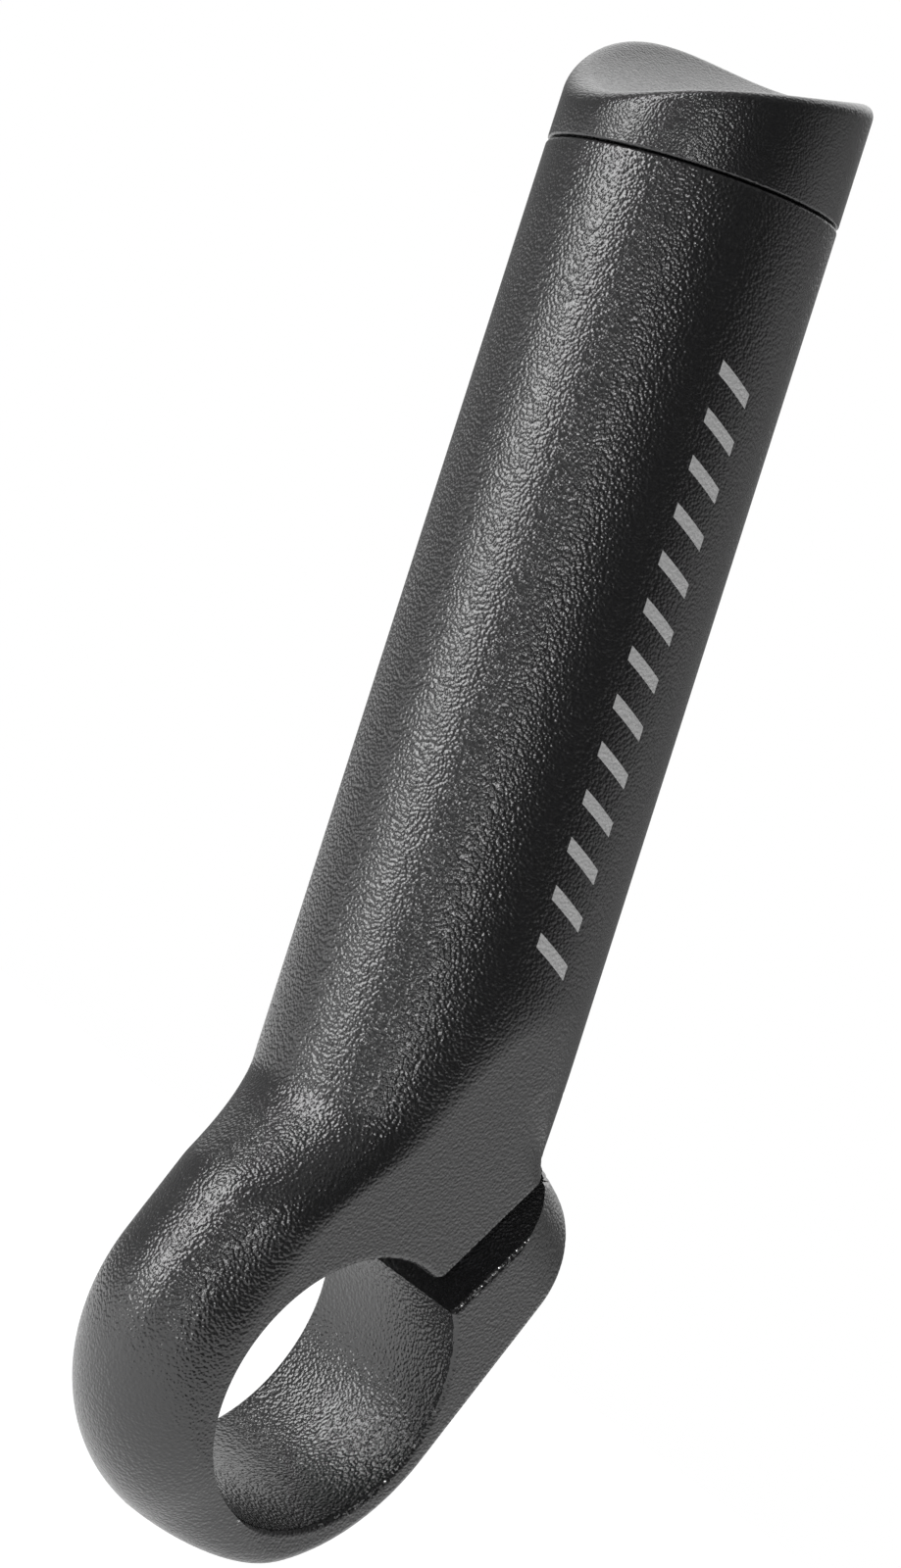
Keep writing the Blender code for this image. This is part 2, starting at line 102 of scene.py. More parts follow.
# Edges and details that only the fine pieces have
BORE_LIP = 0.45 * MM
SLOT_LIP = 0.5 * MM
CAP_RIM_RADIUS = 1.0 * MM
CAP_SHOULDER_RADIUS = 2.0 * MM
CAP_SHOULDER_ANGLE = -141.5 * DEG
CAP_FOOT_RADIUS = 0.2 * MM
CAP_SEAT = 0.12 * MM
THREAD_PITCH = 0.8 * MM
THREAD_DEPTH = 0.45 * MM
HEAD_EDGE = 0.5 * MM

DRILL_HALF_ANGLE = 59 * DEG

# Fineness of the fine pieces
SIDE_POINTS = 110
FINE_POINTS = 900
RING_STATIONS = 64
NECK_STATIONS = 130
ARM_STATIONS = 6
RIM_STATIONS = 6
ROUND_SIDES = 192
BOLT_SIDES = 72
TURN_WEIGHT = 4.0 * MM

# The camera, in the object's frame
CAMERA_PLACE = Vector((433.63, -539.25, 114.08)) * MM
CAMERA_TARGET = Vector((-9.64, -2.34, 41.68)) * MM
CAMERA_ROLL = 29.58 * DEG
CAMERA_LENS = 221.84

# Looks. A grain is its size and its depth, a cloud its scale and detail, a gloss the roughness from and to
BLACK = (0.013, 0.013, 0.0135)
STEEL = (0.55, 0.55, 0.57)
RUBBED_METAL = (0.6, 0.6, 0.6)
PRINT_GREY = (0.5, 0.5, 0.5)
TABLE_WHITE = (0.9, 0.9, 0.9)
FORGED_INDEX = 1.62
FORGED_GRAIN, FORGED_CLOUD, FORGED_GLOSS = (0.25 * MM, 0.065 * MM), (90.0, 3.0), (0.22, 0.28)
MOULDED_INDEX = 1.58
MOULDED_GRAIN, MOULDED_CLOUD, MOULDED_GLOSS = (0.2 * MM, 0.045 * MM), (120.0, 3.0), (0.22, 0.3)
STEEL_GRAIN, STEEL_CLOUD, STEEL_GLOSS = (0.15 * MM, 0.004 * MM), (700.0, 4.0), (0.2, 0.38)
RUB_WIDTH = 0.6 * MM
RUB_AMOUNT = 0.16
RUB_FADE = 0.35
RUB_EDGE = 0.06
SPECK_SCALE = 3500.0
WORN_SIDE = (0.0, 0.79, -0.62)
WORN_FADE = 0.3
PRINT_ANGLE = -9.5 * DEG
PRINT_SLANT = 25.0 * DEG
PRINT_START = 16.0 * MM
PRINT_PITCH = 3.6 * MM
PRINT_BAR = 1.1 * MM
PRINT_WIDTH = 3.4 * MM
PRINT_BARS = 13
# Each lobe of the room is its direction, the angles at its edge and its core, and its change of the level
ROOM_LEVEL = 0.25
ROOM_LOBES = [((0.93, -0.25, 0.1), 66 * DEG, 28 * DEG, -0.22), ((0.62, 0.72, -0.3), 50 * DEG, 15 * DEG, 0.53),
              ((-0.55, 0.55, 0.63), 45 * DEG, 20 * DEG, 1.6)]
SPARK_SIDE = (0.55, -0.83, 0.08)
SPARK_RISE = 40.0 * MM
SPARK_DISTANCE = 0.9
SPARK_SIZE = 0.12
SPARK_POWER = 1.5
STRIP_SIDE = (-0.415, -0.91, -0.08)
STRIP_RISE = 570.0 * MM
STRIP_DISTANCE = 0.8
STRIP_WIDTH = 0.3
STRIP_LENGTH = 1.1
STRIP_POWER = 10.5
FLOOR_DROP = 0.22
FLOOR_SIZE = 2.4
FLOOR_LIFT = 0.5

HALF_WIDTH = CLAMP_WIDTH / 2
BORE_RADIUS = BAR_DIAMETER / 2
CLAMP_RADIUS = BORE_RADIUS + CLAMP_WALL
ARM_RADIUS = ARM_DIAMETER / 2
HOLLOW_RADIUS = ARM_RADIUS - ARM_WALL
SPIGOT_RADIUS = HOLLOW_RADIUS - SPIGOT_SLACK
RIB_RADIUS = HOLLOW_RADIUS - GAP
BOLT_HOLE_RADIUS = BOLT_DIAMETER / 2 + GAP
COUNTERBORE_RADIUS = WASHER_DIAMETER / 2 + GAP

ACROSS = np.array([1.0, 0.0, 0.0])
ASIDE = np.array([0.0, 1.0, 0.0])
CLAMP_CENTRE = np.array([0.0, -CLAMP_SHIFT_BACK, CLAMP_SHIFT_UP])
CLAMP_UP = np.array([0.0, math.sin(CLAMP_LEAN), math.cos(CLAMP_LEAN)])
CLAMP_BACK = np.array([0.0, -math.cos(CLAMP_LEAN), math.sin(CLAMP_LEAN)])
SLOT_UP = np.array([0.0, math.sin(SLOT_LEAN), math.cos(SLOT_LEAN)])
BOLT_AXIS = np.array([0.0, -math.cos(SLOT_LEAN), math.sin(SLOT_LEAN)])
ARM_AXIS = np.array([-math.sin(ARM_LEAN), 0.0, math.cos(ARM_LEAN)])
ARM_SQUARE = np.array([math.cos(ARM_LEAN), 0.0, math.sin(ARM_LEAN)])
BEND_POINT = np.array([0.0, 0.0, BEND_HEIGHT])
ARM_TOP = BEND_POINT + ARM_LENGTH * ARM_AXIS
JAW_FACE = -SLOT_OFFSET
BASE_FACE = JAW_FACE + SLOT_WIDTH
MID_SLOT = JAW_FACE + SLOT_WIDTH / 2
SEAT_FACE = JAW_FACE - SEAT_THICKNESS
HEAD_FACE = SEAT_FACE - GAP - WASHER_THICKNESS - GAP


def smooth_step(value):
    """Rise from 0 to 1 as the value does, level at both ends: v squared times (3 less 2v)."""
    value = np.clip(value, 0.0, 1.0)
    return value * value * (3 - 2 * value)


def meet(one, other, radius):
    """Join two distances to the solid that both hold, with an edge rounded to a radius."""
    inside = np.minimum(np.maximum(one, other), -radius)
    return inside + np.hypot(np.maximum(one + radius, 0), np.maximum(other + radius, 0))


def meet_face(one, slope, face, radius):
    """Join a distance to the one from a flat face, with an edge rounded to a radius at any angle.

    slope is the cosine c of the angle between their directions. With each distance's reach past the
    rounding's middle, u and v, the arc's own distance is the root of (uu + vv - 2uvc) / (1 - cc).
    """
    reach, beyond, slope = one + radius, face + radius, np.clip(slope, -0.3, 0.97)
    on_arc = (reach > slope * beyond) & (beyond > slope * reach)
    squared = (reach ** 2 + beyond ** 2 - 2 * reach * beyond * slope) / (1 - slope ** 2)
    return np.where(on_arc, np.sqrt(np.maximum(squared, 0)) - radius, np.maximum(one, face))


def merge(one, other, radius):
    """Join two distances to the solid that either holds, with an inner corner filled to a radius."""
    outside = np.maximum(np.minimum(one, other), radius)
    return outside - np.hypot(np.maximum(radius - one, 0), np.maximum(radius - other, 0))


def clamp_outline(points):
    """Distance from points to the clamp's outline, a leaning stadium open at its top."""
    offset = points - CLAMP_CENTRE
    return np.hypot(np.minimum(offset @ CLAMP_UP, 0), offset @ CLAMP_BACK) - CLAMP_RADIUS


def edge_softness(points, span):
    """Share of an edge's full rounding: whole at the back, none along the jaw, with a span between."""
    towards_jaw = -(points @ CLAMP_BACK) / EDGE_REACH
    return 1 - smooth_step((towards_jaw - span[0]) / (span[1] - span[0]))


def edge_radius(softness, full):
    """The rounding of the clamp's edges, from the jaw's least to a full one."""
    return JAW_EDGE_RADIUS + (full - JAW_EDGE_RADIUS) * softness


def jaw_distance(points):
    """Distance from points to the jaw's side of the forging: a plate of the clamp's outline.

    Beyond the bolt the plate's sides close in a half circle about the bolt's axis.
    """
    across = points[..., 0]
    sides = np.hypot(across, np.maximum(points @ SLOT_UP - BOLT_HEIGHT, 0)) - HALF_WIDTH
    outboard = edge_radius(edge_softness(points, OUTBOARD_EDGE_SPAN), OUTBOARD_EDGE_RADIUS)
    inboard = edge_radius(edge_softness(points, INBOARD_EDGE_SPAN), INBOARD_EDGE_RADIUS)
    return meet(clamp_outline(points), sides, np.where(across > 0, outboard, inboard))


def trunk_distance(points):
    """Distance from points to the arm's side of the forging, before its flat outer face is cut.

    The clamp's outline tapers up the neck and is joined to a leaning round bar, whose overhang is cut
    under by a plane at 45 degrees. The join's fillet shrinks from the back to the jaw's side.
    """
    across, height = points[..., 0], points[..., 2]
    rise = smooth_step((height - NECK_START) / (NECK_END - NECK_START))
    inboard = edge_radius(edge_softness(points, INBOARD_EDGE_SPAN), INBOARD_EDGE_RADIUS)
    plate = meet(clamp_outline(points) + NECK_TAPER * rise, -across - HALF_WIDTH, inboard)
    offset = points - BEND_POINT
    radial = offset - (offset @ ARM_AXIS)[..., None] * ARM_AXIS
    bar = np.sqrt((radial * radial).sum(axis=-1)) - ARM_RADIUS
    under = (NECK_UNDERCUT - HALF_WIDTH - across - height) * math.sqrt(0.5)
    join = JOIN_RADIUS * (1 - JOIN_FADE * smooth_step(points[..., 1] / JOIN_SPAN))
    return merge(plate, meet(bar, under, UNDERCUT_RADIUS), join)


def arm_distance(points):
    """Distance from points to the arm's side of the forging, its edge rounded at the flat outer face."""
    trunk = trunk_distance(points)
    step = 0.05 * MM
    slope = (trunk_distance(points + step * ACROSS) - trunk) / step
    rise = smooth_step((points[..., 2] - NECK_START) / (NECK_END - NECK_START))
    full = OUTBOARD_EDGE_RADIUS + NECK_ROUNDING * rise
    radius = edge_radius(edge_softness(points, OUTBOARD_EDGE_SPAN), full)
    return meet_face(trunk, slope, points[..., 0] - HALF_WIDTH, radius)


def skin_distance(points):
    """Distance from points to the whole forging before it is bored and slit."""
    return np.where(points @ BOLT_AXIS < MID_SLOT, jaw_distance(points), arm_distance(points))


def skin_points(starts, rays):
    """Where rays leave the forging: the interval that holds the skin is halved until it is very short."""
    low = np.zeros(rays.shape[:-1])
    high = np.full(rays.shape[:-1], 3 * max(CLAMP_RADIUS, ARM_RADIUS))
    for _ in range(26):
        middle = (low + high) / 2
        inside = skin_distance(starts + rays * middle[..., None]) < 0
        low = np.where(inside, middle, low)
        high = np.where(inside, high, middle)
    return starts + rays * high[..., None]


def half_outlines(starts, aheads, asides):
    """Trace the skin over half turns of rays, one outline for each start, its points where it turns.

    A ray is cos(a) times ahead plus sin(a) times aside. Equal shares are taken of each outline's length
    plus a weight times how far it has turned. Both end points are among them.
    """
    starts, aheads, asides = starts[:, None], aheads[:, None], asides[:, None]
    fine = np.linspace(0, math.pi, FINE_POINTS)
    rays = np.cos(fine)[None, :, None] * aheads + np.sin(fine)[None, :, None] * asides
    steps = np.diff(skin_points(starts, rays), axis=1)
    lengths = np.linalg.norm(steps, axis=-1)
    headings = steps / np.maximum(lengths, 1e-9)[..., None]
    turning = np.linalg.norm(np.diff(headings, axis=1, prepend=headings[:, :1]), axis=-1)
    travel = np.cumsum(lengths + TURN_WEIGHT * np.minimum(turning, 0.5), axis=1)
    travel = np.concatenate([np.zeros((len(travel), 1)), travel], axis=1)
    shares = np.linspace(0, 1, SIDE_POINTS + 2)
    angles = np.array([np.interp(shares * path[-1], path, fine) for path in travel])
    rays = np.cos(angles)[..., None] * aheads + np.sin(angles)[..., None] * asides
    return skin_points(starts, rays)


def level_rings():
    """Work out the rings of the skin from the bore's axis up to the arm's top rim.

    The planes are level at the clamp and turn square to the arm as the spine bends into it.
    """
    round_end = BEND_HEIGHT + 3 * ARM_RADIUS
    top = (ARM_TOP - 2 * ARM_RIM_RADIUS * ARM_AXIS)[2]
    heights = np.concatenate([np.linspace(0, round_end, NECK_STATIONS, endpoint=False),
                              np.linspace(round_end, top, ARM_STATIONS, endpoint=False)])
    above = np.maximum(heights - BEND_HEIGHT, 0.0)
    turns = ARM_LEAN * smooth_step(above / (3 * ARM_RADIUS))
    flat = np.zeros_like(heights)
    starts = np.stack([-math.tan(ARM_LEAN) * above, flat, heights], axis=1)
    aheads = np.stack([np.cos(turns), flat, np.sin(turns)], axis=1)
    asides = np.tile(ASIDE, (len(heights), 1))
    halves = half_outlines(starts, aheads, asides), half_outlines(starts, -aheads, -asides)
    angles = np.linspace(0, 2 * math.pi, 2 * SIDE_POINTS + 2, endpoint=False)
    around = np.cos(angles)[:, None] * ARM_SQUARE + np.sin(angles)[:, None] * ASIDE
    bends = np.linspace(0, math.pi / 2, RIM_STATIONS)[:, None, None]
    radii = ARM_RADIUS - ARM_RIM_RADIUS * (1 - np.cos(bends))
    rim = ARM_TOP - ARM_AXIS * ARM_RIM_RADIUS * (1 - np.sin(bends)) + radii * around
    return np.concatenate([np.concatenate([halves[0][:, :-1], halves[1][:, :-1]], axis=1), rim])


def new_mesh(name, verts, *faces):
    """Make a mesh of points and of arrays of faces."""
    mesh = bpy.data.meshes.new(name)
    mesh.from_pydata(verts.tolist(), [], [face for block in faces for face in block.tolist()])
    mesh.validate()
    return mesh


def ring_quads(rings, sides):
    """Faces between closed rings of points that follow each other: a side's two points, then the next's."""
    here = np.arange((rings - 1) * sides).reshape(rings - 1, sides)
    ahead = np.roll(here, -1, axis=1)
    return np.stack([here, ahead, ahead + sides, here + sides], axis=-1).reshape(-1, 4)


def ring_fan(first, sides, middle, up):
    """Triangles that close a ring of points, from the first's number on, to a middle point."""
    here = first + np.arange(sides)
    ahead = np.roll(here, -1)
    middles = np.full(sides, middle)
    return np.stack([here, ahead, middles] if up else [ahead, here, middles], axis=1)


def lathe_mesh(name, rings):
    """Close a run of rings, which turn anticlockwise seen from the last one, into a mesh."""
    count, sides = rings.shape[:2]
    verts = np.concatenate([rings.reshape(-1, 3), rings[:1].mean(axis=1), rings[-1:].mean(axis=1)])
    return new_mesh(name, verts, ring_quads(count, sides), ring_fan(0, sides, count * sides, False),
                    ring_fan((count - 1) * sides, sides, count * sides + 1, True))


def skin_mesh(name):
    """Make the forging's skin: level rings above the bore's axis, and a ring swept about it below.

    Below, the section's plane turns about the bore's axis from +Y through -Z to -Y, and each section
    starts and ends at the two points where that axis leaves the skin.
    """
    rings = level_rings()
    count, sides = rings.shape[:2]
    turns = np.linspace(0, -math.pi, RING_STATIONS + 1)[1:-1]
    outwards = np.stack([np.zeros_like(turns), np.cos(turns), np.sin(turns)], axis=1)
    swept = half_outlines(np.zeros_like(outwards), np.tile(ACROSS, (len(turns), 1)), outwards)[:, 1:-1]
    verts = np.concatenate([rings.reshape(-1, 3), rings[-1:].mean(axis=1), swept.reshape(-1, 3)])
    far = SIDE_POINTS + 1
    rows = np.zeros((len(turns) + 2, far + 1), dtype=int)
    rows[:, far] = far
    rows[0, 1:far] = np.arange(1, far)
    rows[1:-1, 1:far] = count * sides + 1 + np.arange(swept.shape[0] * SIDE_POINTS).reshape(-1, SIDE_POINTS)
    rows[-1, 1:far] = sides - np.arange(1, far)
    one, other = rows[:-1], rows[1:]
    quads = np.stack([one[:, 1:-2], other[:, 1:-2], other[:, 2:-1], one[:, 2:-1]], axis=-1).reshape(-1, 4)
    near_tips = np.stack([one[:, 0], other[:, 1], one[:, 1]], axis=-1)
    far_tips = np.stack([one[:, -2], other[:, -2], one[:, -1]], axis=-1)
    top = ring_fan((count - 1) * sides, sides, count * sides, True)
    return new_mesh(name, verts, ring_quads(count, sides), top, quads, near_tips, far_tips)


def add_piece(name, mesh):
    """Put a mesh into the scene as an object of that name."""
    piece = bpy.data.objects.new(name, mesh)
    bpy.context.scene.collection.objects.link(piece)
    return piece


def axis_matrix(origin, along):
    """Give the placement whose Z axis runs along a direction from an origin."""
    turn = Vector(along).to_track_quat('Z', 'X').to_matrix().to_4x4()
    return Matrix.Translation(Vector(origin)) @ turn


def turned_rings(profile, sides):
    """Rings of a run of (radius, height) points that turns round the Z axis."""
    angles = np.linspace(0, 2 * math.pi, sides, endpoint=False)
    profile = np.array(profile)
    radii, heights = profile[:, :1], np.tile(profile[:, 1:], (1, sides))
    return np.stack([radii * np.cos(angles), radii * np.sin(angles), heights], axis=-1)


def turned_cutter(name, profile, matrix, sides=ROUND_SIDES):
    """Turn a run of (radius, height) points that rises along the axis into a closed cutter."""
    mesh = lathe_mesh(name, turned_rings(profile, sides))
    mesh.transform(matrix)
    return add_piece(name, mesh)


def bore_cutter():
    """The handlebar's bore, its edges rounded, and clear of the arm's overhang on the grip's side."""
    bends = np.linspace(0, math.pi / 2, 6)
    lip = [(BORE_RADIUS + BORE_LIP * (1 - math.cos(a)), HALF_WIDTH - BORE_LIP * (1 - math.sin(a)))
           for a in bends]
    flare = BORE_RADIUS + BORE_LIP
    profile = [(flare, -HALF_WIDTH - ARM_RADIUS)]
    profile += [(radius, -height) for radius, height in reversed(lip)] + lip
    profile += [(flare, HALF_WIDTH + 2 * BORE_LIP)]
    return turned_cutter("bore_cutter", profile, axis_matrix((0, 0, 0), ACROSS))


def slot_outline(grow):
    """Points of the slot's section, widened all round by an amount."""
    centre_across = BASE_FACE + SLOT_MOUTH_RADIUS
    reach = BORE_RADIUS + SLOT_MOUTH_RADIUS
    centre_up = math.sqrt(reach ** 2 - centre_across ** 2)
    end = math.atan2(-centre_up, -centre_across)
    radius = SLOT_MOUTH_RADIUS - grow
    mouth = [(centre_across + radius * math.cos(a), centre_up + radius * math.sin(a))
             for a in np.linspace(-math.pi, end, 12)]
    low, high = 0.75 * BORE_RADIUS, BOLT_HEIGHT + 2 * HALF_WIDTH + ARM_RADIUS
    jaw, base = JAW_FACE - grow, BASE_FACE + grow
    return np.array([(jaw, low), (jaw, high), (base, high)] + mouth + [(base, low)])


def slot_cutter():
    """The slot, its lips rounded where it meets the clamp's flat outer face."""
    bends = np.linspace(0, math.pi / 2, 5)
    lip = [(SLOT_LIP * (1 - math.cos(a)), HALF_WIDTH - SLOT_LIP * (1 - math.sin(a))) for a in bends]
    far = -1.5 * HALF_WIDTH - ARM_RADIUS
    sections = [(0.0, far), (0.0, -HALF_WIDTH + SLOT_LIP)] + lip + [(SLOT_LIP, HALF_WIDTH + SLOT_LIP)]
    outlines = [(across, slot_outline(grow)) for grow, across in sections]
    rings = np.array([across * ACROSS + outline[:, :1] * BOLT_AXIS + outline[:, 1:] * SLOT_UP
                      for across, outline in outlines])
    count, sides = rings.shape[:2]
    ends = np.array([np.arange(sides)[::-1], (count - 1) * sides + np.arange(sides)])
    mesh = new_mesh("slot_cutter", rings.reshape(-1, 3), ring_quads(count, sides), ends)
    return add_piece("slot_cutter", mesh)


def hollow_cutter():
    """The arm's drilled hollow, with the cone that a drill leaves at its bottom."""
    cone = HOLLOW_RADIUS / math.tan(DRILL_HALF_ANGLE)
    profile = [(0.05 * HOLLOW_RADIUS, -HOLLOW_DEPTH - cone), (HOLLOW_RADIUS, -HOLLOW_DEPTH),
               (HOLLOW_RADIUS, 2 * ARM_RIM_RADIUS)]
    return turned_cutter("hollow_cutter", profile, axis_matrix(ARM_TOP, ARM_AXIS), 96)


def bolt_hole_cutter():
    """The bolt's counterbore and clearance hole through the jaw, and its blind hole in the arm's base."""
    tip = HEAD_FACE + BOLT_LENGTH + HOLE_END_ROOM
    cone = BOLT_HOLE_RADIUS / math.tan(DRILL_HALF_ANGLE)
    profile = [(COUNTERBORE_RADIUS, SEAT_FACE - CLAMP_RADIUS), (COUNTERBORE_RADIUS, SEAT_FACE),
               (BOLT_HOLE_RADIUS, SEAT_FACE), (BOLT_HOLE_RADIUS, tip), (0.05 * BOLT_HOLE_RADIUS, tip + cone)]
    return turned_cutter("bolt_hole_cutter", profile, axis_matrix(BOLT_HEIGHT * SLOT_UP, BOLT_AXIS), 96)


def fine_piece(name, mesh, node, body, material, sharp):
    """Put a fine mesh in place of one of the model's nodes, shaded smooth but for its sharp edges."""
    mesh.name = name
    mesh.materials.clear()
    mesh.materials.append(material)
    mesh.shade_smooth()
    mesh.set_sharp_from_angle(angle=sharp * DEG)
    piece = add_piece(name, mesh)
    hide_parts(node)
    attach(piece, body)
    return piece


def make_forging(material):
    """The fine forging, cut as the model is."""
    rough = add_piece("rough_forging", skin_mesh("rough_forging"))
    cutters = [bore_cutter(), slot_cutter(), hollow_cutter(), bolt_hole_cutter()]
    for cutter in cutters:
        step = rough.modifiers.new("cut_" + cutter.name, 'BOOLEAN')
        step.operation = 'DIFFERENCE'
        step.solver = 'EXACT'
        step.object = cutter
    bpy.context.view_layer.update()
    mesh = bpy.data.meshes.new_from_object(rough.evaluated_get(bpy.context.evaluated_depsgraph_get()))
    for thing in cutters + [rough]:
        bpy.data.objects.remove(thing, do_unlink=True)
    return fine_piece("forging_skin", mesh, "body", "forging", material, 24)


def cap_height(across, side):
    """Height of the plug's top over the arm's rim, as a sum of smooth waves that grow to the rim.

    One wave round the rim tilts it up towards +Y, two bend it like a saddle and three like a trefoil.
    """
    x, y = across / ARM_RADIUS, side / ARM_RADIUS
    tilt = CAP_TILT[0] * x + CAP_TILT[1] * y
    saddle = CAP_SADDLE[0] * (x * x - y * y) + CAP_SADDLE[1] * 2 * x * y
    trefoil = CAP_TREFOIL[0] * (x ** 3 - 3 * x * y * y) + CAP_TREFOIL[1] * (3 * x * x * y - y ** 3)
    return CAP_HEIGHT + CAP_BOWL * (x * x + y * y - 1) + tilt + saddle + trefoil


def make_plug(material):
    """The fine plug: a surface of the angle round it and the place along its section.

    The section runs from the hollow's top down inside the spigot, up over its ribs and out under the cap.
    From there it climbs the wall to the rim, whose rounding swells at two shoulders as a squared cosine,
    and runs in over the scoop to the middle.
    """
    inner, top = SPIGOT_RADIUS - SPIGOT_WALL, SPIGOT_HOLLOW_TOP
    below = [(0.3 * inner, top), (inner, top), (inner, -SPIGOT_LENGTH), (SPIGOT_RADIUS, -SPIGOT_LENGTH)]
    for i in range(RIB_COUNT, 0, -1):
        rib = -(i - 0.4) * RIB_PITCH
        below += [(SPIGOT_RADIUS, rib - 0.6 * RIB_PITCH), (RIB_RADIUS, rib - 0.1 * RIB_PITCH),
                  (SPIGOT_RADIUS, rib)]
    below += [(SPIGOT_RADIUS, CAP_SEAT)]
    foot = np.linspace(0, math.pi / 2, 5)
    below += [(ARM_RADIUS - CAP_FOOT_RADIUS * (1 - math.sin(a)),
               CAP_SEAT + CAP_FOOT_RADIUS * (1 - math.cos(a))) for a in foot]
    angles = np.linspace(0, 2 * math.pi, ROUND_SIDES, endpoint=False)
    swell = np.cos(angles - CAP_SHOULDER_ANGLE) ** 2
    rounding = CAP_RIM_RADIUS + (CAP_SHOULDER_RADIUS - CAP_RIM_RADIUS) * swell
    bends = np.linspace(0, math.pi / 2, 15)[:, None]
    shares = np.linspace(1, 0, 30)[1:-1, None]
    radii = np.concatenate([ARM_RADIUS - rounding * (1 - np.cos(bends)), (ARM_RADIUS - rounding) * shares])
    sinks = np.concatenate([rounding * (1 - np.sin(bends)), np.zeros((len(shares), ROUND_SIDES))])
    across, side = radii * np.cos(angles), radii * np.sin(angles)
    upper = np.stack([across, side, cap_height(across, side) - sinks], axis=-1)
    mesh = lathe_mesh("plug", np.concatenate([turned_rings(below, ROUND_SIDES), upper]))
    mesh.transform(Matrix.Translation(Vector(ARM_TOP)) @ Matrix.Rotation(-ARM_LEAN, 4, 'Y'))
    return fine_piece("plug", mesh, "end_cap", "forging", material, 35)


def make_screw(material):
    """The fine bolt: a surface of the angle round it and the place along its section.

    The shank's radius falls and rises with the height less the pitch's share of the angle, which winds
    the thread, and the groove runs out at the tip and under the head. In the socket the radius is the
    hexagon's, half its width over the cosine of the angle from the nearest flat's middle.
    """
    angles = np.linspace(0, 2 * math.pi, BOLT_SIDES, endpoint=False)
    shank, head = BOLT_DIAMETER / 2, HEAD_DIAMETER / 2
    heights = np.linspace(-BOLT_LENGTH, -0.2 * MM, 8 * round(BOLT_LENGTH / THREAD_PITCH))[:, None]
    turn = (heights / THREAD_PITCH - angles / (2 * math.pi)) % 1.0
    groove = THREAD_DEPTH * np.clip(1.6 * np.abs(2 * turn - 1) - 0.3, 0.0, 1.0)
    fade = smooth_step((-heights - 0.6 * MM) / MM) * smooth_step((heights + BOLT_LENGTH) / MM)
    point = 0.7 * MM * (1 - np.minimum((heights + BOLT_LENGTH) / (0.8 * MM), 1.0))
    radii = shank - groove * fade - point
    thread = np.stack([radii * np.cos(angles), radii * np.sin(angles), heights + 0 * angles], axis=-1)
    bends = np.linspace(0, math.pi / 2, 6)
    collar = [(shank, 0.0), (head - 0.2 * MM, 0.0), (head, 0.2 * MM)]
    collar += [(head - HEAD_EDGE * (1 - math.cos(a)), HEAD_HEIGHT - HEAD_EDGE * (1 - math.sin(a)))
               for a in bends]
    collar += [(HEX_WIDTH / math.sqrt(3) + 0.15 * MM, HEAD_HEIGHT)]
    flats = HEX_WIDTH / 2 / np.cos(angles % (math.pi / 3) - math.pi / 6)
    levels = np.array([-0.3 * MM, -HEX_DEPTH, -HEX_DEPTH])[:, None] + HEAD_HEIGHT
    radii = np.stack([flats, flats, 0.8 * flats])
    socket = np.stack([radii * np.cos(angles), radii * np.sin(angles), levels + 0 * angles], axis=-1)
    bottom = turned_rings([(0.4 * MM, HEAD_HEIGHT - HEX_DEPTH - 0.6 * MM)], BOLT_SIDES)
    mesh = lathe_mesh("screw", np.concatenate([thread, turned_rings(collar, BOLT_SIDES), socket, bottom]))
    mesh.transform(axis_matrix(BOLT_HEIGHT * SLOT_UP + HEAD_FACE * BOLT_AXIS, -BOLT_AXIS))
    return fine_piece("screw", mesh, "clamp_bolt", "bolt", material, 30)


def new_node(tree, kind, inputs=(), **settings):
    """Add a node, set its settings, and fill its inputs with values or join them to other sockets."""
    node = tree.nodes.new(kind)
    for name, value in settings.items():
        setattr(node, name, value)
    for key, value in dict(inputs).items():
        if isinstance(value, bpy.types.NodeSocket):
            tree.links.new(value, node.inputs[key])
        else:
            node.inputs[key].default_value = value
    return node


def group_node(tree, group, inputs=()):
    """Add a node for a group."""
    return new_node(tree, "ShaderNodeGroup", inputs, node_tree=group)


def run_along(tree, place, direction):
    """The run of a place along a direction."""
    return new_node(tree, "ShaderNodeVectorMath", {0: place, 1: Vector(direction)},
                    operation='DOT_PRODUCT').outputs["Value"]


def math_node(tree, operation, *values):
    """Add a math node and give the socket of its result."""
    return new_node(tree, "ShaderNodeMath", dict(enumerate(values)), operation=operation).outputs[0]


def new_group(name, given, results):
    """Make a shader node group with named sockets, and give it with its input and output nodes."""
    group = bpy.data.node_groups.new(name, 'ShaderNodeTree')
    for label, kind in given:
        group.interface.new_socket(label, in_out='INPUT', socket_type="NodeSocket" + kind)
    for label, kind in results:
        group.interface.new_socket(label, in_out='OUTPUT', socket_type="NodeSocket" + kind)
    return group, group.nodes.new("NodeGroupInput"), group.nodes.new("NodeGroupOutput")


